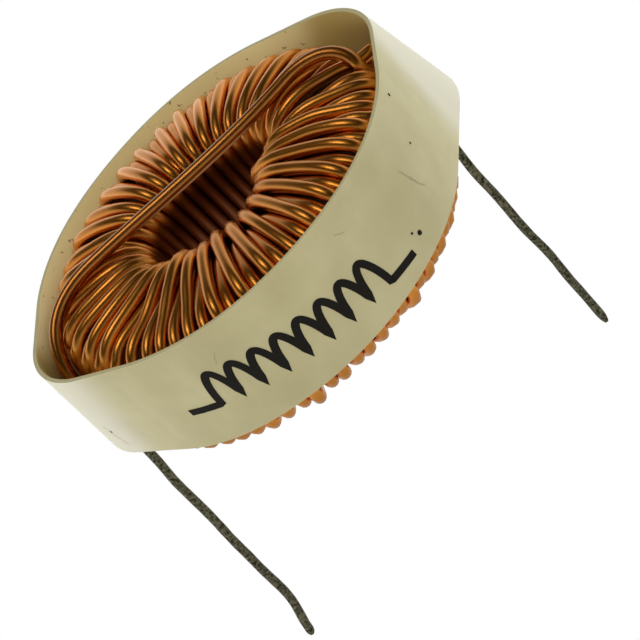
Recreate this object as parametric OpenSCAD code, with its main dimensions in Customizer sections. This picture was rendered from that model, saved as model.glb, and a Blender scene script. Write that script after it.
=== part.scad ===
// Toroidal inductor for upright mounting on a board by two wire leads.
// A ring core carries one long copper wire in 74 turns. The turns lie side by side on the outside
// and in two nested layers in the hole. A thin sleeve band goes round the winding, pulled out
// into a pocket at each end, and the two tinned wire ends leave through these pockets.
// The origin is on the ring's axis at the level where the winding rests on the board, +Z up,
// +X along the long way of the band. All sizes are in millimetres and degrees.

/* [Wire and winding] */
// diameter of the enamelled wire
wire_d = 0.98; // [0.6:0.02:1.2]
// number of turns round the core, an even number
turns = 74; // [40:2:90]
// free space between neighbouring wires that lie against each other
wire_gap = 0.02; // [0.01:0.01:0.1]
// free space between the wire and the core's round walls, outside and in the hole
wall_slack = 0.17; // [0.1:0.01:0.5]
// free space between the wire and the core's flat faces
face_slack = 0.39; // [0.2:0.01:0.8]
// rise of the crests where the upper layer rides over the lower one
crest_lift = 0.63; // [0.3:0.01:0.8]
// bulge of the upper layer's bends over the edge of the hole
hole_bulge = 0.35; // [0:0.05:0.6]
// how square the upper side of one turn is, 2 is round and 6 is nearly a box
top_squareness = 3.4; // [2.5:0.1:6]
// how square its lower side is
low_squareness = 4.6; // [2.5:0.1:6]
// direction of the first turn, where the crossing strand dives over the edge
first_turn_angle = -16; // [-30:1:0]

/* [Core] */
// outside diameter of the ring core
core_d = 27.5; // [24:0.1:30]
// diameter of the core's hole
core_hole_d = 14.8; // [12:0.1:18]
// height of the core
core_h = 7.6; // [6:0.1:10]
// rounding of the core's edges
core_edge_r = 2.2; // [0.5:0.1:3]

/* [Crossing strand] */
// where the strand comes up from the left pocket to the shoulder, across the long way
strand_left_y = 1.2; // [0:0.1:3]
// where it lies on the left half of the winding, how far inside the middle of the turns
strand_far_in = 1.25; // [0:0.05:3]
// direction of that place from the ring's axis
strand_far_angle = 155.1; // [140:0.1:170]
// where it lies on the right half, how far inside the middle of the turns
strand_near_in = 1.1; // [0:0.05:3]
// direction of that place from the ring's axis
strand_near_angle = -4.5; // [-12:0.1:5]

/* [Leads] */
// diameter of the tinned lead
lead_d = 0.76; // [0.5:0.02:1]
// how far inside the band the wire becomes a tinned lead, above the lower rim
lead_rise = 0.7; // [0.2:0.1:3]
// left lead, how far its axis stands outside the wound ring
lead_left_out = 0.55; // [0.5:0.05:0.9]
// left lead, place of its top across the long way
lead_left_y = 0.2; // [-1:0.1:2]
// length of the straight part of the left lead
lead_left_length = 19.6; // [5:0.1:30]
// outward lean of the left lead
lead_left_lean = 4.4; // [0:0.1:10]
// length of the bent end of the left lead
lead_left_hook = 2.6; // [1:0.1:5]
// outward bend of that end
lead_left_bend = 14; // [0:1:40]
// right lead, how far its axis stands outside the wound ring
lead_right_out = 0.7; // [0.5:0.05:1.3]
// right lead, place of its top across the long way
lead_right_y = 1.3; // [-1:0.1:2]
// length of the straight part of the right lead
lead_right_length = 21.6; // [5:0.1:32]
// inward lean of the right lead
lead_right_lean = 1.3; // [0:0.1:10]
// length of the bent end of the right lead
lead_right_hook = 4.4; // [1:0.1:6]
// sideways bend of that end
lead_right_bend = 3; // [0:1:40]

/* [Sleeve band] */
// thickness of the band's wall
band_wall = 0.32; // [0.2:0.01:0.6]
// free space between the wound ring and the band
band_gap = 0.05; // [0.02:0.01:0.3]
// height of the band's lower rim above the board
band_low_z = 2.3; // [1:0.1:4]
// drop of the band's upper rim below the crests of the turns
band_top_drop = 0.5; // [0:0.1:2]
// rounding of the right pocket
pocket_right_r = 8.0; // [4:0.1:10]
// reach of the right pocket beyond the wound ring at the upper rim
pocket_right_top = 1.51; // [1:0.01:3]
// reach of the right pocket beyond the wound ring at the lower rim
pocket_right_low = 3.21; // [1:0.01:4]
// sideways place of the right pocket at the upper rim
pocket_right_top_y = 0.34; // [-1:0.02:2]
// sideways place of the right pocket at the lower rim
pocket_right_low_y = 1.1; // [-1:0.02:3]
// rounding of the left pocket
pocket_left_r = 7.3; // [4:0.1:10]
// reach of the left pocket beyond the wound ring at the upper rim
pocket_left_top = 1.38; // [1:0.01:3]
// reach of the left pocket beyond the wound ring at the lower rim
pocket_left_low = 1.52; // [1:0.01:4]
// sideways place of the left pocket at the upper rim
pocket_left_top_y = 0.24; // [-1:0.02:2]
// sideways place of the left pocket at the lower rim
pocket_left_low_y = 2.1; // [-1:0.02:3]

/* [Hidden] */

wire_r = wire_d / 2;
wire_space = wire_d + wire_gap;
slot_angle = 360 / (turns + 1);
slot_arc = slot_angle * PI / 180;

// One turn seen from the side is a rounded box round the core's section.
turn_out_r = core_d / 2 + wall_slack + wire_r;
turn_hole_r = core_hole_d / 2 - wall_slack - wire_r;
turn_mid_r = (turn_out_r + turn_hole_r) / 2;
turn_half_w = (turn_out_r - turn_hole_r) / 2;
turn_half_h = core_h / 2 + face_slack + wire_r;

// The size of the wound ring over the turns, from the board to the crests.
wound_d = 2 * (turn_out_r + wire_r);
wound_h = 2 * (turn_half_h + crest_lift + wire_r);
mid_z = wound_h / 2;

// The rings of one turn, as angles round the section: down the outside, under, up the hole, over.
ring_angles = [45, 15, -15, -45, -75, -105, -135, -165, -195, -225, -255, -285];
wire_sides = 6;

function squareness(a) = sin(a) > 0 ? top_squareness : low_squareness;
function square_cos(a) = sign(cos(a)) * pow(abs(cos(a)), 2 / squareness(a));
function square_sin(a) = sign(sin(a)) * pow(abs(sin(a)), 2 / squareness(a));
function unit(v) = v / norm(v);

// A place in the section of the wound ring, as distance from the axis and height from the middle.
function section(a) = [turn_mid_r + turn_half_w * square_cos(a), turn_half_h * square_sin(a)];

// The direction that looks out of the turn at that place.
function section_out(a) = unit([
    sign(cos(a)) * pow(abs(cos(a)), 2 - 2 / squareness(a)) / turn_half_w,
    sign(sin(a)) * pow(abs(sin(a)), 2 - 2 / squareness(a)) / turn_half_h]);

// Every second turn rides in the groove between its neighbours, where these leave no room,
// and its two bends at the hole stand a little further out.
function ride(slot, a, r) = slot % 2 == 1 || a > -45 ? 0 :
    sqrt(max(0, pow(wire_space, 2) - pow(slot_arc * r, 2))) + (a == -135 || a == -225 ? hole_bulge : 0);

function slot_direction(slot) = first_turn_angle - slot_angle * slot;

// The step to the next slot is made underneath, between the two lower bends.
function step_done(a) = min(1, max(0, (-45 - a) / 90));

function round_axis(r, direction, z) = [r * cos(direction), r * sin(direction), z];

function turn_point(i, a) =
    let (s = section(a), out = section_out(a), lift = ride(i + 1, a, s[0]))
    round_axis(s[0] + out[0] * lift, slot_direction(i + step_done(a)), mid_z + s[1] + out[1] * lift);

turn_points = [for (i = [0 : turns - 1]) for (a = ring_angles) turn_point(i, a)];

// A smooth bend between two places, which leaves the first and reaches the second along the
// given ways. A longer way makes a wider bend.
function bend(start, leave, reach, end, steps, from) = [for (k = [from : steps])
    let (t = k / steps, u = 1 - t)
    u * u * u * start + 3 * u * u * t * (start + leave) + 3 * u * t * t * (end - reach) + t * t * t * end];

// The strand lies on the crests. It comes up through the left pocket and crosses the hole.
// Each way says how the wire runs at one end of a bend.
strand_z = wound_h + wire_r + wire_gap;
pocket_wire_r = wound_d / 2 + wire_r + wire_gap;
lead_top_z = band_low_z + lead_rise;
left_foot = [-wound_d / 2 - lead_left_out, lead_left_y, lead_top_z];
left_rise_z = mid_z + 1.8;
left_rise = [-sqrt(pow(pocket_wire_r, 2) - pow(strand_left_y, 2)), strand_left_y, left_rise_z];
strand_far = round_axis(turn_mid_r - strand_far_in, strand_far_angle, strand_z);
strand_near = round_axis(turn_mid_r - strand_near_in, strand_near_angle, strand_z);
dive_end = turn_points[0] + [0, 0, 0.4];
foot_way = [0, 0, 2];
rise_way = [0, 0.3, 2];
shoulder_way = [0.15, 1.3, 3];
far_in_way = [4.5, -1.0, 0];
far_out_way = [4.9, -1.2, 0];
near_in_way = [6.2, -0.15, 0];
near_out_way = [2.1, -0.1, 0];
dive_way = dive_end - strand_near - [4.2, -1.9, -0.15];
strand_points = concat(
    bend(left_foot, foot_way, rise_way, left_rise, 3, 0),
    bend(left_rise, shoulder_way, far_in_way, strand_far, 8, 1),
    bend(strand_far, far_out_way, near_in_way, strand_near, 7, 1),
    bend(strand_near, near_out_way, dive_way, dive_end, 6, 1));

// The last turn comes over the top and goes down through the right pocket.
last_direction = slot_direction(turns);
last_top = turn_points[len(turn_points) - 1];
right_foot = [wound_d / 2 + lead_right_out, lead_right_y, lead_top_z];
right_rise_z = mid_z + 2.2;
right_rise = round_axis(pocket_wire_r, last_direction + 1, right_rise_z);
over_way = round_axis(1.9, last_direction, -0.35);
fall_way = [0.1, 0.3, -2.1];
drop_way = [0.15, 1.2, -2.2];
right_foot_way = [-0.1, 0.5, -1.9];
pocket_points = concat(
    bend(last_top, over_way, fall_way, right_rise, 5, 1),
    bend(right_rise, drop_way, right_foot_way, right_foot, 5, 1));

wire_points = concat(strand_points, turn_points, pocket_points);
wire_count = len(wire_points);

// The sections of the wire are turned to look away from the middle of the core's section.
// Where the strand crosses the hole they look up.
strand_up_r = turn_mid_r - max(strand_far_in, strand_near_in);
function core_middle(p) = turn_mid_r * unit([p[0], p[1], 0]) + [0, 0, mid_z];
function look_out(p) = p[2] > wound_h && norm([p[0], p[1]]) < strand_up_r ? [0, 0, 1] : p - core_middle(p);

function wire_ring(k) =
    let (
        p = wire_points[k],
        way = unit(wire_points[min(k + 1, wire_count - 1)] - wire_points[max(k - 1, 0)]),
        raw = look_out(p),
        out = unit(raw - (raw * way) * way),
        side = cross(way, out))
    [for (j = [0 : wire_sides - 1])
        let (turn = 90 + 360 * j / wire_sides)
        p + wire_r * (cos(turn) * side + sin(turn) * out)];

wire_skin = [for (k = [0 : wire_count - 1]) each wire_ring(k)];
wire_faces = concat(
    [for (k = [0 : wire_count - 2], j = [0 : wire_sides - 1], half = [0, 1])
        let (n = (j + 1) % wire_sides, a = k * wire_sides, b = a + wire_sides)
        half == 0 ? [a + j, b + j, b + n] : [a + j, b + n, a + n]],
    [for (j = [1 : wire_sides - 2]) [0, j, j + 1]],
    [for (j = [1 : wire_sides - 2])
        let (last = (wire_count - 1) * wire_sides)
        [last, last + j + 1, last + j]]);

// The band's outline is the taut line round the wound ring and the two pocket roundings.
band_ring_r = wound_d / 2 + band_gap;
band_top_z = wound_h - band_top_drop;
band_steps = 96;
function blend(low, top, t) = low + (top - low) * t;
function pocket_place(side, t) = side > 0 ?
    [wound_d / 2 + blend(pocket_right_low, pocket_right_top, t) - pocket_right_r,
        blend(pocket_right_low_y, pocket_right_top_y, t)] :
    [pocket_left_r - wound_d / 2 - blend(pocket_left_low, pocket_left_top, t),
        blend(pocket_left_low_y, pocket_left_top_y, t)];
function band_place(direction, t, wall) =
    let (
        look = [cos(direction), sin(direction)],
        right = pocket_place(1, t),
        left = pocket_place(-1, t),
        right_reach = right * look + pocket_right_r,
        left_reach = left * look + pocket_left_r)
    right_reach > band_ring_r ? right + (pocket_right_r + wall) * look :
    left_reach > band_ring_r ? left + (pocket_left_r + wall) * look :
    (band_ring_r + wall) * look;

band_levels = [[0, band_wall], [1, band_wall], [1, 0], [0, 0]];
band_skin = [for (level = band_levels) for (k = [0 : band_steps - 1])
    let (place = band_place(360 * k / band_steps, level[0], level[1]))
    [place[0], place[1], blend(band_low_z, band_top_z, level[0])]];
band_faces = [for (q = [0 : 3], k = [0 : band_steps - 1], half = [0, 1])
    let (n = (k + 1) % band_steps, a = q * band_steps, b = ((q + 1) % 4) * band_steps)
    half == 0 ? [a + k, b + k, b + n] : [a + k, b + n, a + n]];

// The ring core of pressed powder under a smooth coat.
module core() {
    color("DimGray")
        translate([0, 0, mid_z])
            rotate_extrude($fn = 96)
                translate([(core_d + core_hole_d) / 4, 0])
                    offset(r = core_edge_r, $fn = 32)
                        square([(core_d - core_hole_d) / 2 - 2 * core_edge_r,
                            core_h - 2 * core_edge_r], center = true);
}

// One wire from the left lead over the strand and all the turns to the right lead.
module winding() {
    color("Peru")
        polyhedron(points = wire_skin, faces = wire_faces);
}

// A straight tinned lead hanging from its top, with its end bent toward -X.
// The two stretches meet face to face in the plane that halves the bend.
module lead(straight, hook, bend) {
    reach = straight + hook;
    translate([0, 0, -straight]) {
        intersection() {
            translate([0, 0, -lead_d])
                cylinder(d = lead_d, h = straight + lead_d, $fn = 64);
            rotate([0, bend / 2, 0])
                translate([-reach, -reach, 0])
                    cube(2 * reach);
        }
        intersection() {
            rotate([0, bend, 0])
                translate([0, 0, -hook])
                    cylinder(d = lead_d, h = hook + lead_d, $fn = 64);
            rotate([0, bend / 2, 0])
                translate([-reach, -reach, -2 * reach])
                    cube(2 * reach);
        }
    }
}

module lead_left() {
    color("Gray")
        translate(left_foot)
            rotate([0, lead_left_lean, 0])
                lead(lead_left_length, lead_left_hook, lead_left_bend);
}

// This end is bent sideways, so the lead is turned round toward +Y.
module lead_right() {
    color("Gray")
        translate(right_foot)
            rotate([0, lead_right_lean, 0])
                rotate([0, 0, -90])
                    lead(lead_right_length, lead_right_hook, lead_right_bend);
}

// The thin band of heat shrinking sleeve round the wound ring.
module sleeve_band() {
    color("Ivory")
        polyhedron(points = band_skin, faces = band_faces);
}

core();
winding();
lead_left();
lead_right();
sleeve_band();
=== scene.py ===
# %% [markdown]
# A toroidal inductor: a ring core wound with one long enamelled copper wire, in a thin cream band,
# with two tinned leads. The solid model gives the frame, and this file gives the looks.
# We start by loading that frame. Everything here is in metres and in the same place as the solids,
# and sizes below are written in millimetres and turned into metres by MM.

# %% Load the solid model
import math
import bpy
import numpy as np
from mathutils import Matrix, Vector


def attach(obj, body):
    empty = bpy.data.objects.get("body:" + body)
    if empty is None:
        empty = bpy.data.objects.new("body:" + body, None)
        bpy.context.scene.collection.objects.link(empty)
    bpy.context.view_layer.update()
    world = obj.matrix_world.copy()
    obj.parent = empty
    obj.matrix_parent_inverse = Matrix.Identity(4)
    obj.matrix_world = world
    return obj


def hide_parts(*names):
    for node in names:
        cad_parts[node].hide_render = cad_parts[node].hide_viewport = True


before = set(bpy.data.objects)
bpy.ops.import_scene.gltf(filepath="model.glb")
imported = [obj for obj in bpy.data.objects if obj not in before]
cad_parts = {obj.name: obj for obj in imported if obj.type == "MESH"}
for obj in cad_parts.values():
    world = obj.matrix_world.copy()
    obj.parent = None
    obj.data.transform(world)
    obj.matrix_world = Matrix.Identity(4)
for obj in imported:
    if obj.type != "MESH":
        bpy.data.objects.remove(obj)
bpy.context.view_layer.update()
MM = 0.001
print("nodes:", sorted(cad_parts))

# %% [markdown]
# The camera comes first, because every finish is judged from it. The photograph looks down on the
# part at about 30 degrees from a little left of the front, and the part is turned in the picture by
# about 46 degrees. That turn is a roll of the camera about its own line of sight. A long lens, far
# away, gives the gentle perspective.

# %% The camera
CAMERA_AT = (-25.19, -147.78, 83.07)


def new_object(name, data):
    """Makes an object of a mesh, curve, lamp or camera and links it into the scene."""
    obj = bpy.data.objects.new(name, data)
    bpy.context.scene.collection.objects.link(obj)
    return obj


azimuth, elevation, roll = math.radians(-9.435), math.radians(29.732), math.radians(-45.818)
back = Vector((math.sin(azimuth) * math.cos(elevation), -math.cos(azimuth) * math.cos(elevation),
               math.sin(elevation)))
level = Vector((math.cos(azimuth), math.sin(azimuth), 0))
rise = back.cross(level)
right = math.cos(roll) * level + math.sin(roll) * rise
up = -math.sin(roll) * level + math.cos(roll) * rise
camera_data = bpy.data.cameras.new("camera")
camera_data.lens, camera_data.sensor_width = 137.0, 36
camera_data.clip_start, camera_data.clip_end = 0.005, 5
camera = new_object("camera", camera_data)
camera.matrix_world = Matrix.Translation(Vector(CAMERA_AT) * MM) @ Matrix(
    (right, up, back)).transposed().to_4x4()
bpy.context.scene.camera = camera
print("camera at mm", [round(v / MM, 1) for v in camera.location])

# %% [markdown]
# The light is that of a plain white studio. Glossy wire is mostly a mirror, so what it reflects
# decides its look: the photograph shows a bright level all round, a dark stretch above it and a
# soft light overhead. The level of light is a ramp from below to above, a little dimmer toward the
# camera, where the photographer stands. The world sheds it on dull surfaces. The camera, mirrors
# and glass see the world as pure white.

# %% World
# How light it is from straight below, at 0, past the level of the part, at 0.5, to straight above.
LEVELS = [(0.0, (0.42, 0.41, 0.39)), (0.30, (0.62, 0.61, 0.59)), (0.50, (0.95, 0.94, 0.92)),
          (0.62, (0.68, 0.67, 0.64)), (0.765, (0.50, 0.49, 0.46)), (0.812, (0.02, 0.018, 0.016)),
          (0.935, (0.02, 0.018, 0.016)), (1.0, (0.5, 0.48, 0.45))]
# The share of it that is left toward the camera and above.
DIM = 0.42


def ramp(tree, value, stops, interpolation="LINEAR"):
    """Turns a number into a colour."""
    node = tree.nodes.new("ShaderNodeValToRGB")
    node.color_ramp.interpolation = interpolation
    tree.links.new(value, node.inputs["Fac"])
    while len(node.color_ramp.elements) < len(stops):
        node.color_ramp.elements.new(0.5)
    for element, (place, colour) in zip(node.color_ramp.elements, stops):
        element.position, element.color = place, (*colour, 1)
    return node.outputs["Color"]


def studio_light(tree, direction, shader):
    """Gives a shader the studio's light of one direction."""
    split = tree.nodes.new("ShaderNodeSeparateXYZ")
    height = tree.nodes.new("ShaderNodeMapRange")
    height.inputs["From Min"].default_value = -1
    front_up = tree.nodes.new("ShaderNodeMath")
    front_up.operation = "SUBTRACT"
    front_dim = tree.nodes.new("ShaderNodeMapRange")
    for key, value in (("From Min", -1.0), ("From Max", -0.2), ("To Min", DIM), ("To Max", 1.0)):
        front_dim.inputs[key].default_value = value
    tree.links.new(direction, split.inputs[0])
    tree.links.new(split.outputs["Z"], height.inputs["Value"])
    tree.links.new(ramp(tree, height.outputs["Result"], LEVELS, "EASE"), shader.inputs["Color"])
    tree.links.new(split.outputs["Y"], front_up.inputs[0])
    tree.links.new(split.outputs["Z"], front_up.inputs[1])
    tree.links.new(front_up.outputs[0], front_dim.inputs["Value"])
    tree.links.new(front_dim.outputs["Result"], shader.inputs["Strength"])


def either(tree, first, second):
    """1 where one of two yes-or-no numbers is 1."""
    node = tree.nodes.new("ShaderNodeMath")
    node.operation = "MAXIMUM"
    tree.links.new(first, node.inputs[0])
    tree.links.new(second, node.inputs[1])
    return node.outputs[0]


world = bpy.data.worlds.new("studio")
bpy.context.scene.world = world
world.use_nodes = True
sky = world.node_tree
sky.nodes.clear()
white = sky.nodes.new("ShaderNodeBackground")
white.inputs["Color"].default_value = (1, 1, 1, 1)
white.inputs["Strength"].default_value = 1.0
surround = sky.nodes.new("ShaderNodeBackground")
where = sky.nodes.new("ShaderNodeTexCoord")
studio_light(sky, where.outputs["Generated"], surround)
path = sky.nodes.new("ShaderNodeLightPath")
mirrored_or_seen = either(sky, path.outputs["Is Camera Ray"], path.outputs["Is Glossy Ray"])
pick = sky.nodes.new("ShaderNodeMixShader")
out = sky.nodes.new("ShaderNodeOutputWorld")
sky.links.new(either(sky, mirrored_or_seen, path.outputs["Is Transmission Ray"]), pick.inputs[0])
sky.links.new(surround.outputs[0], pick.inputs[1])
sky.links.new(white.outputs[0], pick.inputs[2])
sky.links.new(pick.outputs[0], out.inputs["Surface"])
print("world:", world.name)

# %% [markdown]
# A photographer shapes what shiny wire mirrors with cards and a tent. Here a tent stands above the
# part and a table lies below it, both far away, with the white background open between them all
# round. They glow with the same levels of light as the world. The camera and dull surfaces don't
# see them.

# %% Tent and table
TENT_R, OPEN_LOW, OPEN_TOP = 600 * MM, -0.16, 0.12
bpy.ops.object.select_all(action="DESELECT")
bpy.ops.mesh.primitive_uv_sphere_add(segments=64, ring_count=64, radius=TENT_R)
tent = bpy.context.active_object
tent.name = "tent_and_table"
bpy.ops.object.mode_set(mode="EDIT")
bpy.ops.mesh.select_all(action="DESELECT")
bpy.ops.object.mode_set(mode="OBJECT")
for face in tent.data.polygons:
    face.select = OPEN_LOW < face.center.z / TENT_R < OPEN_TOP
bpy.ops.object.mode_set(mode="EDIT")
bpy.ops.mesh.delete(type="FACE")
bpy.ops.object.mode_set(mode="OBJECT")
cloth = bpy.data.materials.new("tent cloth")
cloth.use_nodes = True
weave = cloth.node_tree
weave.nodes.clear()
glow = weave.nodes.new("ShaderNodeEmission")
place_in = weave.nodes.new("ShaderNodeTexCoord")
toward = weave.nodes.new("ShaderNodeVectorMath")
toward.operation = "NORMALIZE"
cloth_out = weave.nodes.new("ShaderNodeOutputMaterial")
weave.links.new(place_in.outputs["Object"], toward.inputs[0])
weave.links.new(glow.outputs[0], cloth_out.inputs["Surface"])
studio_light(weave, toward.outputs[0], glow)
tent.data.materials.append(cloth)
tent.visible_camera = tent.visible_diffuse = tent.visible_shadow = False
print("tent and table:", len(tent.data.polygons), "faces")

# %% [markdown]
# Four soft lamps light the part: one overhead, one in front and one on each side. The wire would
# show the last three as hard bright lines, so they are kept out of mirrors.

# %% Lamps
# The place in mm that all lamps point to.
AIM = (0, 0, 5)
SIDE_SIZE, SIDE_COLOUR = (180, 200), (0.98, 0.99, 1.03)


def lamp(name, place, size, watts, colour, mirrored=False):
    """A soft lamp at a place and of a size in mm, turned to the part."""
    data = bpy.data.lights.new(name, "AREA")
    data.shape, data.size, data.size_y = "RECTANGLE", size[0] * MM, size[1] * MM
    data.energy, data.color = watts, colour
    obj = new_object(name, data)
    obj.location = Vector(place) * MM
    obj.rotation_euler = (Vector(AIM) - Vector(place)).to_track_quat("-Z", "Y").to_euler()
    obj.visible_glossy = mirrored
    return obj


lamps = [
    lamp("overhead", (-50, -20, 300), (120, 90), 0.08, (1, 0.88, 0.62), mirrored=True),
    lamp("front", (-50, -240, 220), (260, 200), 0.66, (1, 0.95, 0.84)),
    lamp("left", (-230, 193, 60), SIDE_SIZE, 0.66, SIDE_COLOUR),
    lamp("right", (275, 80, 60), SIDE_SIZE, 0.60, SIDE_COLOUR),
]
bpy.context.scene.view_settings.view_transform = "Standard"
print("lamps:", [o.name for o in lamps])

# %% [markdown]
# The winding gives the part its looks. In the solid model its wire has six sides. Here the same
# route is followed with a round wire. One turn seen from the side is a box with round corners,
# a superellipse, and its points are spread evenly by length so that the bends come out smooth.

# %% The shape of one turn
CORE_D, CORE_HOLE_D, CORE_H = 27.5, 14.8, 7.6
WIRE_D, GAP, TURNS = 0.98, 0.02, 74
WIRE_R, SPACE = WIRE_D / 2, WIRE_D + GAP
# The room between the core and the wire, beside it and above it.
SIDE_ROOM, TOP_ROOM = 0.17, 0.39
# The room over and under the turns for those that ride on them, and how far these bulge at the hole.
CREST, BULGE = 0.63, 0.35
OUT_R = CORE_D / 2 + SIDE_ROOM + WIRE_R
HOLE_R = CORE_HOLE_D / 2 - SIDE_ROOM - WIRE_R
MID_R, HALF_W, HALF_H = (OUT_R + HOLE_R) / 2, (OUT_R - HOLE_R) / 2, CORE_H / 2 + TOP_ROOM + WIRE_R
WOUND_R, MID_Z = OUT_R + WIRE_R, HALF_H + CREST + WIRE_R
# The turns go round from FIRST, in degrees, and leave one slot free.
SLOT, FIRST = 360 / (TURNS + 1), -16.0
# How square the section is in its upper and its lower half.
SQUARE_TOP, SQUARE_LOW = 3.4, 4.6
# The points of a turn, and the fine steps that they are picked from.
STEPS, FINE = 76, 2001
# A turn starts at its upper outer corner and runs down the outside, under the core, up through the
# hole and back over the top. These are the angles of its corners, and of its tip at the hole.
OUTER_TOP, OUTER_LOW, INNER_LOW, TIP, INNER_TOP = 45, -45, -135, -212, -225


def power(value, exponent):
    return np.sign(value) * np.abs(value) ** exponent


def section(angle):
    """Points of the turn's section, as radius and height, and the way out of it there."""
    a = np.radians(angle)
    square = np.where(np.sin(a) > 0, SQUARE_TOP, SQUARE_LOW)
    place = np.stack([MID_R + HALF_W * power(np.cos(a), 2 / square),
                      HALF_H * power(np.sin(a), 2 / square)], -1)
    out = np.stack([power(np.cos(a), 2 - 2 / square) / HALF_W,
                    power(np.sin(a), 2 - 2 / square) / HALF_H], -1)
    return place, out / np.linalg.norm(out, axis=-1, keepdims=True)


def run_along(points):
    """The length from the first point to each of them."""
    return np.r_[0, np.cumsum(np.linalg.norm(np.diff(points, axis=0), axis=1))]


fine = np.linspace(OUTER_TOP, OUTER_TOP - 360, FINE)
run = run_along(section(fine)[0])
even = np.interp(np.linspace(0, run[-1], STEPS, endpoint=False), run, fine)
print("one turn is", round(float(run[-1]), 2), "mm round, in", STEPS, "points")

# %% [markdown]
# All the turns follow one another round the core. Every second one rides in the groove between
# its neighbours near the hole, where there is no room side by side. A hand-wound coil is never
# perfect: on the outside the turns lie in small bunches with gaps between, at the hole some bend
# out further than others, and near the board a few stick out. These errors come from a seeded
# generator, so the coil is the same each time. Where two turns come close, the riding one is
# lifted by just as much as a round wire needs.

# %% All the turns
rng = np.random.default_rng(11)


def wander(count, smooth, size):
    """Random numbers that change slowly from turn to turn."""
    raw = rng.normal(size=count + 4 * smooth)
    kernel = np.hanning(2 * smooth + 1)
    soft = np.convolve(raw, kernel / np.sqrt((kernel ** 2).sum()), "same")
    return soft[2 * smooth:2 * smooth + count] * size


def smooth_step(value, low, high):
    t = np.clip((value - low) / (high - low), 0, 1)
    return t * t * (3 - 2 * t)


def by_direction(table):
    """A value for each turn, from a table of directions and values."""
    return np.interp(at_hole, *zip(*table))


# The tables below go by the direction in which a turn stands at the hole, in degrees.
at_hole = (FIRST - SLOT * np.arange(TURNS + 2)) % 360 - 360
# The turns lean: seen from above, the outer end of a turn stands some degrees round from its end
# at the hole. The lean changes slowly round the coil, as on the near side of the photograph.
LEAN = [(-360, 0), (-300, 2), (-210, 0), (-180, -3), (-155, -4), (-121, 4), (-100, 2), (-76, -2),
        (-40, -8), (-10, -3), (0, 0)]
# How far the riding turns bend out at the hole, along their own way out and toward the axis.
OUTWARD = [(-360, 0), (-210, 0), (-165, 0.3), (-140, 0.5), (-120, 0.35), (-85, 0.3), (-60, 0.7),
           (-50, 0.9), (-33, 0.3), (-18, -0.3), (0, 0)]
INWARD = [(-360, 0), (-160, 0), (-140, 0.35), (-115, 0.1), (-80, 0), (-66, 0.4), (-54, 1.2),
          (-44, 0.7), (-32, 0), (0, 0)]
lean = by_direction(LEAN) / SLOT
# The room from one turn to the next on the outside, in slots: tight in a bunch, wide after it. The
# last two are the least that a turn can have, and how often the room is tight.
TIGHT, WIDE, LEAST, OFTEN = 0.88, 1.18, 0.84, 0.6
room = np.where(rng.random(TURNS + 1) < OFTEN, TIGHT, WIDE) + rng.uniform(0, 0.05, TURNS + 1)
room -= np.diff(lean)
for _ in range(20):
    room = np.maximum(room + 1 - room.mean(), LEAST)
shift = np.r_[0, np.cumsum(room - 1)]
shift += -lean.mean() - shift.mean()
# How far a riding turn stands up on the top, and any turn at its lower outer corner, where those on
# the near side stand out more.
rise_more = np.abs(wander(TURNS + 2, 1, 0.10))
near_side = smooth_step(np.cos(np.radians(at_hole + 95)), 0.2, 0.7)
foot = np.abs(wander(TURNS + 2, 1, 0.10)) + 0.22 * near_side
tip = by_direction(OUTWARD) + wander(TURNS + 2, 1, 0.12)
tip_in = by_direction(INWARD) + np.abs(wander(TURNS + 2, 1, 0.08))
# Two turns stick out on the near side, as the photograph shows.
for direction in (-119.0, -77.5):
    foot[round((FIRST - direction) / SLOT)] = 0.55
PACKED_R, FREE_R = 7.2, 13.6


def loose(r):
    """0 at the hole, where the turns are packed, and 1 on the outside, where they are free."""
    return smooth_step(r, PACKED_R, FREE_R)


def near_angle(angle, width=22):
    """1 at an angle of the section, fading out to both sides."""
    return np.exp(-((even - angle) / width) ** 2)


STIFF = np.array([1, 2, 3, 4, 5, 4, 3, 2, 1])


def ride_over(slot, r, z):
    """How far a riding turn is lifted out of the groove between its two neighbours."""
    close = min(shift[slot] - shift[slot - 1], shift[slot + 1] - shift[slot])
    gap = math.radians(SLOT) * r * (1 + loose(r) * close)
    # Down the outside there is room for all the turns, and none rides.
    lift = np.sqrt(np.maximum(0, SPACE ** 2 - gap ** 2)) * smooth_step(-even, 50, 75)
    # Stiff wire makes no kink where it climbs out of the groove.
    lift = np.convolve(np.r_[lift[-4:], lift, lift[:4]], STIFF / STIFF.sum(), "valid")
    lift += (near_angle(INNER_TOP) + near_angle(INNER_LOW)) * (BULGE + tip[slot])
    return lift + rise_more[slot] * np.exp(-((r - 10) / 2) ** 2) * np.clip(z, 0, 1)


def turn(i):
    """The points of one turn, with the step to the next one made underneath."""
    place, outward = section(even)
    step = np.clip((OUTER_LOW - even) / 90, 0, 1)
    r, z = place[:, 0], place[:, 1]
    offset = (1 - step) * loose(r) * shift[i] + step * loose(r) * shift[i + 1]
    angle = np.radians(FIRST - SLOT * (i + step + offset))
    slot = i + 1
    riding = slot % 2 == 0
    if riding:
        lift = ride_over(slot, r, z)
    else:
        lift = 0.6 * max(tip[slot], 0) * near_angle(INNER_TOP)
    lift += near_angle(OUTER_LOW, 20) * foot[i]
    rr = r + outward[:, 0] * lift
    if riding:
        rr -= tip_in[slot] * near_angle(TIP, 26)
    zz = np.maximum(MID_Z + z + outward[:, 1] * lift, WIRE_R + 0.01)
    return np.stack([rr * np.cos(angle), rr * np.sin(angle), zz], -1)


turns = [turn(i) for i in range(TURNS)]
print("turns:", len(turns), "points:", sum(len(t) for t in turns))

# %% [markdown]
# The wire starts as the left lead. It comes up inside the band's left pocket, sweeps over the
# shoulder, crosses the hole as a loose strand and dives over the right edge into the first turn.
# The last turn goes down through the right pocket. Four-point curves draw these free stretches.

# %% The free stretches of the wire


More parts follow.
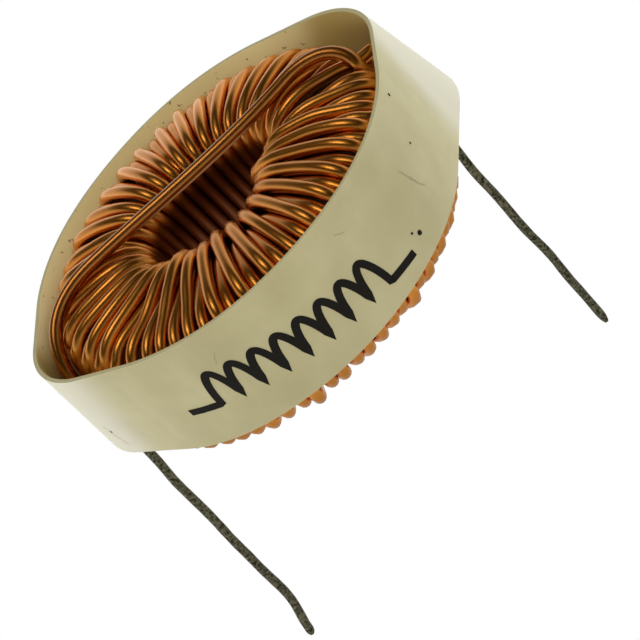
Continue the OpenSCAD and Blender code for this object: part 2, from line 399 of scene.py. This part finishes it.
def bend(points, steps, first=0):
    """A smooth curve between two points, drawn by the two between them."""
    p = np.array(points, float)
    t = np.linspace(0, 1, steps + 1)[first:, None]
    u = 1 - t
    return u ** 3 * p[0] + 3 * u * u * t * p[1] + 3 * u * t * t * p[2] + t ** 3 * p[3]


def around(r, direction, z):
    a = math.radians(direction)
    return np.array([r * math.cos(a), r * math.sin(a), z])


STRAND_Z = 2 * MID_Z + WIRE_R + GAP
POCKET_R = WOUND_R + WIRE_R + GAP
LEAD_TOP = 3.0
left_foot = np.array([-WOUND_R - 0.55, 0.2, LEAD_TOP])
left_rise = np.array([-math.sqrt(POCKET_R ** 2 - 1.2 ** 2), 1.2, MID_Z + 1.8])
far_end = around(MID_R - 1.25, 155.1, STRAND_Z)
near_end = around(MID_R - 1.1, -4.5, STRAND_Z)
dive = turns[0][0] + [0, 0, 0.4]
strand = np.concatenate([
    bend([left_foot, left_foot + [0, 0, 2], left_rise - [0, 0.3, 2], left_rise], 10),
    bend([left_rise, left_rise + [0.15, 1.3, 3], far_end + [-4.5, 1.0, 0], far_end], 30, 1),
    bend([far_end, far_end + [4.9, -1.2, 0], near_end - [6.2, -0.15, 0], near_end], 24, 1),
    bend([near_end, near_end + [2.1, -0.1, 0], near_end + [4.2, -1.9, -0.15], dive], 20, 1)])
last = FIRST - SLOT * TURNS
right_foot = np.array([WOUND_R + 0.7, 1.3, LEAD_TOP])
right_rise = around(POCKET_R, last + 1, MID_Z + 2.2)
pocket = np.concatenate([
    bend([turns[-1][-1], turns[-1][-1] + around(1.9, last, -0.35), right_rise + [-0.1, -0.3, 2.1],
          right_rise], 14, 1),
    bend([right_rise, right_rise + [0.15, 1.2, -2.2], right_foot + [0.1, -0.5, 1.9], right_foot],
         14, 1)])
route = np.concatenate([strand] + turns + [pocket])
print("the wire is", round(float(run_along(route)[-1]) / 1000, 2), "m long")

# %% [markdown]
# A curve with a round bevel is the natural way to make wire in Blender: it follows the points and
# gets its thickness from one number. It is then converted to a mesh, so that each point of the
# wire can carry a number of its own for the finish: how much painted shade it gets, which darkens
# the copper deep in the hole and along the strand.

# %% The wire as a bevelled curve
# Where the painted shade in the hole fades out, by radius and by height, and the strand's share.
SHADE_R, SHADE_Z, STRAND_SHADE = (6.6, 8.4), (8.0, 10.6), 0.5


def wire(name, points, radius, sides=14, radii=None):
    """A round wire through points in mm, with its radius multiplied by radii where they are given."""
    bpy.ops.object.select_all(action="DESELECT")
    data = bpy.data.curves.new(name, "CURVE")
    data.dimensions, data.twist_mode = "3D", "MINIMUM"
    data.bevel_depth, data.bevel_resolution = radius * MM, (sides - 4) // 2
    data.use_fill_caps = True
    line = data.splines.new("POLY")
    line.points.add(len(points) - 1)
    line.points.foreach_set("co", np.c_[points * MM, np.ones(len(points))].ravel())
    if radii is not None:
        line.points.foreach_set("radius", radii)
    obj = new_object(name, data)
    bpy.context.view_layer.objects.active = obj
    obj.select_set(True)
    bpy.ops.object.convert(target="MESH")
    obj = bpy.context.view_layer.objects.active
    bpy.ops.object.shade_smooth()
    return obj


def points_of(obj):
    """The places of a mesh's points, in metres."""
    flat = np.empty(len(obj.data.vertices) * 3)
    obj.data.vertices.foreach_get("co", flat)
    return flat.reshape(-1, 3)


def give_numbers(obj, name, numbers):
    """Lets each point of a mesh carry a number, for its material to read."""
    obj.data.attributes.new(name, "FLOAT", "POINT").data.foreach_set("value", numbers)


winding = wire("copper_wire", route, WIRE_R)
mesh_points = points_of(winding) / MM
from_axis = np.linalg.norm(mesh_points[:, :2], axis=1)
# Painted shade: the copper is darkened deep in the hole, and all along the strand by a fixed share.
painted_shade = (1 - smooth_step(from_axis, *SHADE_R)) * (1 - smooth_step(mesh_points[:, 2], *SHADE_Z))
sides = round(len(mesh_points) / len(route))
painted_shade[:len(strand) * sides] = STRAND_SHADE
give_numbers(winding, "painted_shade", painted_shade)
print("wire mesh:", len(mesh_points), "points,", sides, "sides")

# %% [markdown]
# The enamel is a thin amber lacquer over bright copper. Metal gives the strong orange mirror, and
# a clear coat on top gives the pale line along the edge of each turn. The colour wanders a little
# along the wire, as on a real coil where the lacquer is thicker in places.

# %% Enamelled copper


def principled(name, **values):
    """A material, made if it isn't there, with its node tree and its shader, which gets values."""
    mat = bpy.data.materials.get(name) or bpy.data.materials.new(name)
    mat.use_nodes = True
    shader = mat.node_tree.nodes["Principled BSDF"]
    for key, value in values.items():
        shader.inputs[key.replace("_", " ")].default_value = value
    return mat, mat.node_tree, shader


def noise(tree, scale, detail=3.0):
    """An uneven pattern in the piece's own space, a number from 0 to 1."""
    source = tree.nodes.new("ShaderNodeTexCoord")
    tex = tree.nodes.new("ShaderNodeTexNoise")
    tex.inputs["Scale"].default_value = scale
    tex.inputs["Detail"].default_value = detail
    tree.links.new(source.outputs["Object"], tex.inputs["Vector"])
    return tex.outputs["Fac"]


def mixed_by(tree, name, base, other):
    """A colour that turns into another one where the points carry a higher number."""
    number = tree.nodes.new("ShaderNodeAttribute")
    number.attribute_name = name
    mix = tree.nodes.new("ShaderNodeMix")
    mix.data_type = "RGBA"
    mix.inputs["B"].default_value = (*other, 1)
    tree.links.new(number.outputs["Fac"], mix.inputs["Factor"])
    tree.links.new(base, mix.inputs["A"])
    return mix.outputs["Result"]


def dress(obj, material):
    """Gives a piece one material all over."""
    obj.data.materials.clear()
    obj.data.materials.append(material)


copper, tree, shader = principled(
    "enamelled copper", Metallic=1.0, Roughness=0.3, Coat_Weight=0.8, Coat_Roughness=0.2,
    Coat_IOR=1.5, Coat_Tint=(1.0, 0.80, 0.55, 1))
tint = ramp(tree, noise(tree, 260), [(0.3, (0.80, 0.35, 0.04)), (0.7, (0.92, 0.43, 0.06))])
# Where the points carry painted shade, the copper is mixed toward a dark brown.
tree.links.new(mixed_by(tree, "painted_shade", tint, (0.24, 0.08, 0.015)), shader.inputs["Base Color"])
dress(winding, copper)
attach(winding, "root")
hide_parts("winding")
print("copper on", winding.name)

# %% [markdown]
# The band is a thin sleeve that shrank round the coil. We make it as a flat sheet, a grid, roll it
# round the coil's outline and join its two ends. The outline is the taut line round a circle and
# the two rounded pockets, which lean outward toward the lower rim on the right. A Solidify
# modifier then gives the sheet its wall.

# %% The band
BAND_R, BAND_LOW, BAND_TOP, WALL = 14.95, 2.3, 11.1, 0.32
# The sheet is a little thinner than the solid's wall, and its outer face stands a hair inside.
SHEET, SKIN, MARGIN, RIPPLE = 0.29, WALL - 0.02, 0.05, 0.006
# Each pocket is a round corner. These are its radius, its reach at the lower rim and how much less
# that is at the upper one, its depth at the lower rim and how much nearer it is at the upper one.
RIGHT_R, RIGHT_OUT, RIGHT_IN, RIGHT_Y, RIGHT_NEARER = 8.0, 18.11, 1.7, 1.1, 0.76
LEFT_R, LEFT_OUT, LEFT_IN, LEFT_Y, LEFT_NEARER = 7.3, 16.42, 0.14, 2.1, 1.86
COLUMNS, ROWS = 480, 16


def band_place(direction, t, wall):
    """The band's outline at one direction, t is 0 at the lower rim and 1 at the upper one."""
    look = np.stack([np.cos(direction), np.sin(direction)], -1)
    right_at = np.stack([RIGHT_OUT - RIGHT_IN * t - RIGHT_R, RIGHT_Y - RIGHT_NEARER * t], -1)
    left_at = np.stack([LEFT_R - LEFT_OUT + LEFT_IN * t, LEFT_Y - LEFT_NEARER * t], -1)
    place = (BAND_R + wall) * look
    for corner, radius in ((right_at, RIGHT_R), (left_at, LEFT_R)):
        beyond = (corner * look).sum(-1) + radius > BAND_R
        place[beyond] = (corner + (radius + wall) * look)[beyond]
    return place


def even_ring(t, wall):
    """The outline at one height, evenly spaced, so that straight stretches have points too."""
    turned = np.radians(np.linspace(90, 450, FINE))
    corners = band_place(turned, np.full(FINE, t), wall)
    way = run_along(corners)
    stops = np.linspace(0, way[-1], COLUMNS + 1)
    return np.stack([np.interp(stops, way, corners[:, axis]) for axis in (0, 1)], -1)


bpy.ops.object.select_all(action="DESELECT")
bpy.ops.mesh.primitive_grid_add(x_subdivisions=COLUMNS, y_subdivisions=ROWS, size=1)
band = bpy.context.active_object
band.name = "sleeve"
flat = points_of(band)
around_band, height_band = flat[:, 0] + 0.5, flat[:, 1] + 0.5
rings = np.stack([even_ring(row / ROWS, SKIN) for row in range(ROWS + 1)])
place = rings[np.rint(height_band * ROWS).astype(int), np.rint(around_band * COLUMNS).astype(int)]
direction = np.arctan2(place[:, 1], place[:, 0])
# A shrunk sleeve is never quite round: it follows the turns under it a little.
ripple = RIPPLE * np.sin(direction * (TURNS + 1)) * np.sin(np.pi * height_band)
place = place * (1 - (2 * RIPPLE + ripple) / np.linalg.norm(place, axis=1))[:, None]
# Nor is it cut quite straight.
rim = 0.04 * np.sin(3 * direction + 1) + 0.03 * np.sin(7 * direction)
z = BAND_LOW + MARGIN + (BAND_TOP - BAND_LOW - 2 * MARGIN) * height_band
z += rim * (height_band * 2 - 1) * 0.5
band.data.vertices.foreach_set("co", (np.c_[place, z] * MM).ravel())
bpy.ops.object.mode_set(mode="EDIT")
bpy.ops.mesh.select_all(action="SELECT")
bpy.ops.mesh.remove_doubles(threshold=0.00001)
bpy.ops.mesh.normals_make_consistent(inside=False)
bpy.ops.object.mode_set(mode="OBJECT")
# The modifier gives the inner face and the cut edge the second and the third material, so all
# three are on the sheet before it is applied.
for name in ("cream sleeve", "sleeve inside", "sleeve cut edge"):
    band.data.materials.append(bpy.data.materials.new(name))
solidify = band.modifiers.new("wall", "SOLIDIFY")
solidify.thickness, solidify.offset = SHEET * MM, -1
solidify.material_offset, solidify.material_offset_rim = 1, 2
bpy.ops.object.modifier_apply(modifier="wall")
bpy.ops.object.shade_smooth_by_angle(angle=math.radians(50))
print("band:", len(band.data.polygons), "faces")

# %% [markdown]
# Shrunk sleeve is a soft cream plastic with a dull shine. Some light goes into it and comes out
# again beside, which Subsurface gives. The sleeve is so thin that light shines through it, and this
# is painted into its colour: a duller cream where the dark copper lies behind it, which is painted
# shade, and a paler cream at the pockets, where nothing lies behind, which is painted light. The
# inner face has the light off the copper painted into it as a tan, most of all in the pockets, and
# carries a few specks.

# %% Cream plastic
# How far the band stands off the winding's round, which is more than nothing at the pockets only.
stand_off = np.linalg.norm(points_of(band)[:, :2] / MM, axis=1) - BAND_R - WALL
# The stand-off sets the painted light: a paler cream outside and a deeper tan inside where the band
# stands off the coil.
give_numbers(band, "free", smooth_step(stand_off, 0.0, 0.9))
tree, shader = principled("cream sleeve", Roughness=0.5, Subsurface_Weight=0.12,
                          Subsurface_Radius=(1.0, 0.8, 0.5), Subsurface_Scale=0.0005)[1:]
# A mottled cream, darkened as painted shade where the copper lies behind.
cloud_and_painted_shade = ramp(tree, noise(tree, 210, 5),
             [(0.35, (0.48, 0.44, 0.242)), (0.65, (0.565, 0.525, 0.307))])
tree.links.new(mixed_by(tree, "free", cloud_and_painted_shade, (0.70, 0.68, 0.54)), shader.inputs["Base Color"])
tree, shader = principled("sleeve inside", Roughness=0.8, Specular_IOR_Level=0.2)[1:]
# Dark specks on a tan that is painted light off the copper.
specks_on_painted_tan = ramp(tree, noise(tree, 1700), [(0.30, (0.36, 0.27, 0.14)), (0.335, (0.76, 0.65, 0.33))])
tree.links.new(mixed_by(tree, "free", specks_on_painted_tan, (0.50, 0.37, 0.12)), shader.inputs["Base Color"])
principled("sleeve cut edge", Roughness=0.6, Base_Color=(0.40, 0.37, 0.21, 1))
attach(band, "root")
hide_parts("sleeve_band")
print("cream on", band.name)

# %% [markdown]
# The leads are the wire's own ends, stripped and dipped in solder. They are nearly straight and
# not smooth: the wire sways a little and the tin runs thicker in places. The same bevelled curve
# makes them, with a radius that changes from point to point.

# %% The leads
LEAD_R, LEAD_SIDES, KNEE = 0.335, 16, 1.0
# The two free ends are rounded off by these shares of the radius.
END = (0.97, 0.88, 0.72, 0.5)


def lead(name, top, lean, straight, hook, bend_deg, sideways, node):
    """A lead that leans by some degrees, straight at first, then bent in its last part, the hook."""
    lean_a, bend_a = math.radians(lean), math.radians(bend_deg)
    down = np.array([-math.sin(lean_a), 0, -math.cos(lean_a)])
    if sideways:
        tip_way = np.array([-math.sin(lean_a) * math.cos(bend_a), math.sin(bend_a),
                            -math.cos(lean_a) * math.cos(bend_a)])
    else:
        tip_way = np.array([-math.sin(lean_a + bend_a), 0, -math.cos(lean_a + bend_a)])
    corner = np.array(top) + down * straight
    first = np.linspace(0, 1, 90)[:, None] * (straight - KNEE) * down + np.array(top)
    knee = bend([corner - down * KNEE, corner - down * KNEE / 3, corner + tip_way * KNEE / 3,
                 corner + tip_way * KNEE], 10, 1)
    end = corner + tip_way * (KNEE + np.linspace(0, 1, 14)[1:, None] * (hook - KNEE - 0.03))
    points = np.concatenate([first, knee, end])
    swell = 1 + wander(len(points), 2, 0.012) + wander(len(points), 6, 0.012)
    swell = np.clip(swell, 0.93, 1.06)
    swell[-len(END):] *= END
    sway = np.stack([wander(len(points), 14, 0.045), wander(len(points), 14, 0.045)], -1)
    points[:, :2] += sway * smooth_step(np.arange(len(points)), 8, 24)[:, None]
    obj = wire(name, points, LEAD_R, LEAD_SIDES, swell)
    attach(obj, "root")
    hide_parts(node)
    return obj


lead_a = lead("left_lead", (-15.45, 0.2, LEAD_TOP), 4.4, 19.6, 2.6, 14, False, "lead_left")
lead_b = lead("right_lead", (15.6, 1.3, LEAD_TOP), 1.3, 21.6, 4.4, 3, True, "lead_right")
tin, tree, shader = principled("dipped tin", Metallic=1.0, Roughness=0.42)
grain = noise(tree, 4600, 4)
# The tin is kept dark all over, a painted reflection of the dark surroundings that shiny tin would
# mirror; the speckle is its grain.
tree.links.new(ramp(tree, grain, [(0.36, (0.03, 0.03, 0.016)), (0.68, (0.24, 0.225, 0.145))]),
               shader.inputs["Base Color"])
bump = tree.nodes.new("ShaderNodeBump")
bump.inputs["Strength"].default_value = 0.5
bump.inputs["Distance"].default_value = 0.00004
tree.links.new(grain, bump.inputs["Height"])
tree.links.new(bump.outputs["Normal"], shader.inputs["Normal"])
for obj in (lead_a, lead_b):
    dress(obj, tin)
print("leads:", lead_a.name, lead_b.name)

# %% [markdown]
# The core shows only as dark slits between the turns. Its solid is right as it is, so it stays
# and gets a dark coat.

# %% The core
coat = principled("core coat", Roughness=0.5, Base_Color=(0.12, 0.06, 0.025, 1))[0]
dress(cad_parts["core"], coat)
print("core keeps its solid")

# %% [markdown]
# The near side of the band carries a black ink mark. Here it is a plain symbol of a coil: a line,
# a row of humps and a line. It is a flat ribbon laid on the band, a hair above it. A dot and a few
# specks of the same ink are joined to it.

# %% The ink mark
# The direction of the near side in degrees, how much a stroke falls for each mm along the band,
# and how far a ribbon lies above it.
NEAR_SIDE, FALL, HAIR = -109, 0.1, 0.008
HUMPS, HUMP_W, HUMP_H, PER_HUMP = 8, 1.75, 2.7, 40
STROKE, BASE, TAIL, TAIL_POINTS = 0.56, 4.7, 2.6, 20
# The dot and a few specks of ink: the direction, the height and the size of each.
DOTS = [(-68, 4.1, 0.20), (-69.8, 4.6, 0.10), (-40, 10.0, 0.13), (-48.8, 7.4, 0.10),
        (-163, 5.0, 0.12)]


def along_to(degrees):
    """How far along the band a direction lies from the middle of its near side, in mm."""
    return np.radians(degrees - NEAR_SIDE) * (BAND_R + WALL)


def on_band(along, height):
    """A place just above the band, for a stroke that falls as it goes along."""
    a = np.radians(NEAR_SIDE) + along / (BAND_R + WALL)
    height = height - FALL * along
    place = band_place(a, (height - BAND_LOW) / (BAND_TOP - BAND_LOW), SKIN + HAIR)
    return np.concatenate([place, height[:, None]], -1)


def ribbon(name, centre, width):
    """A flat strip on the band, along a line of places by length along the band and by height."""
    tangent = np.gradient(centre, axis=0)
    tangent /= np.linalg.norm(tangent, axis=1, keepdims=True)
    side = np.stack([-tangent[:, 1], tangent[:, 0]], -1) * width / 2
    count = len(centre)
    points = np.concatenate([on_band(*(centre + way * side).T) for way in (-1, 1)]) * MM
    faces = [(k, k + 1, count + k + 1, count + k) for k in range(count - 1)]
    mesh = bpy.data.meshes.new(name)
    mesh.from_pydata(points.tolist(), [], faces)
    return new_object(name, mesh)


def join(pieces):
    """Makes one piece of several, under the name of the first."""
    bpy.ops.object.select_all(action="DESELECT")
    for piece in pieces:
        piece.select_set(True)
    bpy.context.view_layer.objects.active = pieces[0]
    bpy.ops.object.join()
    return pieces[0]


def tail(start, end):
    """A level stroke before or after the humps."""
    return np.stack([np.linspace(start, end, TAIL_POINTS), np.full(TAIL_POINTS, BASE)], -1)


t = np.linspace(0, HUMPS * math.pi, HUMPS * PER_HUMP + 1)
humps = np.stack([t / math.pi * HUMP_W - HUMPS * HUMP_W / 2,
                  BASE + HUMP_H * np.abs(np.sin(t)) ** 0.6], -1)
begin, finish = humps[0, 0], humps[-1, 0]
mark = ribbon("ink_mark", np.concatenate(
    [tail(begin - TAIL, begin)[:-1], humps, tail(finish, finish + TAIL)[1:]]), STROKE)
ring = np.linspace(0, 2 * math.pi, 13)
dots = []
for number, (degrees, high, size) in enumerate(DOTS):
    along = along_to(degrees)
    circle = np.stack([along + size / 2 * np.cos(ring),
                       high + FALL * along + size / 2 * np.sin(ring)], -1)
    dots.append(ribbon("ink_dot_%d" % number, circle, size))
mark = join([mark] + dots)
ink = principled("ink", Roughness=0.7, Specular_IOR_Level=0.2,
                 Base_Color=(0.009, 0.008, 0.006, 1))[0]
dress(mark, ink)
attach(mark, "root")
print("ink mark:", len(mark.data.polygons), "faces")

# %% [markdown]
# A few faint scuffs and a fold mark show that the sleeve has been handled. They are hair-thin
# ribbons too, only a little duller than the plastic, from one direction and height to another.

# %% Scuffs
SCUFF_W, SCUFF_POINTS = 0.06, 24
SCUFFS = [((-59.5, 7.6), (-57.5, 6.4)), ((-58.5, 6.6), (-56.0, 5.2)), ((-166, 5.6), (-159, 3.4)),
          ((-85, 9.4), (-82.5, 9.0)), ((-128, 8.3), (-126, 9.1))]
lines = []
for number, ends in enumerate(SCUFFS):
    way = np.linspace(0, 1, SCUFF_POINTS)
    directions, heights = (np.interp(way, [0, 1], pair) for pair in zip(*ends))
    along = along_to(directions) + 0.05 * np.sin(7 * way)
    path_on_band = np.stack([along, heights + FALL * along], -1)
    lines.append(ribbon("scuff_%d" % number, path_on_band, SCUFF_W))
scuffs = join(lines)
scuffs.name = "scuffs"
dull = principled("scuffed sleeve", Roughness=0.8, Base_Color=(0.37, 0.345, 0.23, 1))[0]
dress(scuffs, dull)
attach(scuffs, "root")
print("scuffs:", len(scuffs.data.polygons), "faces")
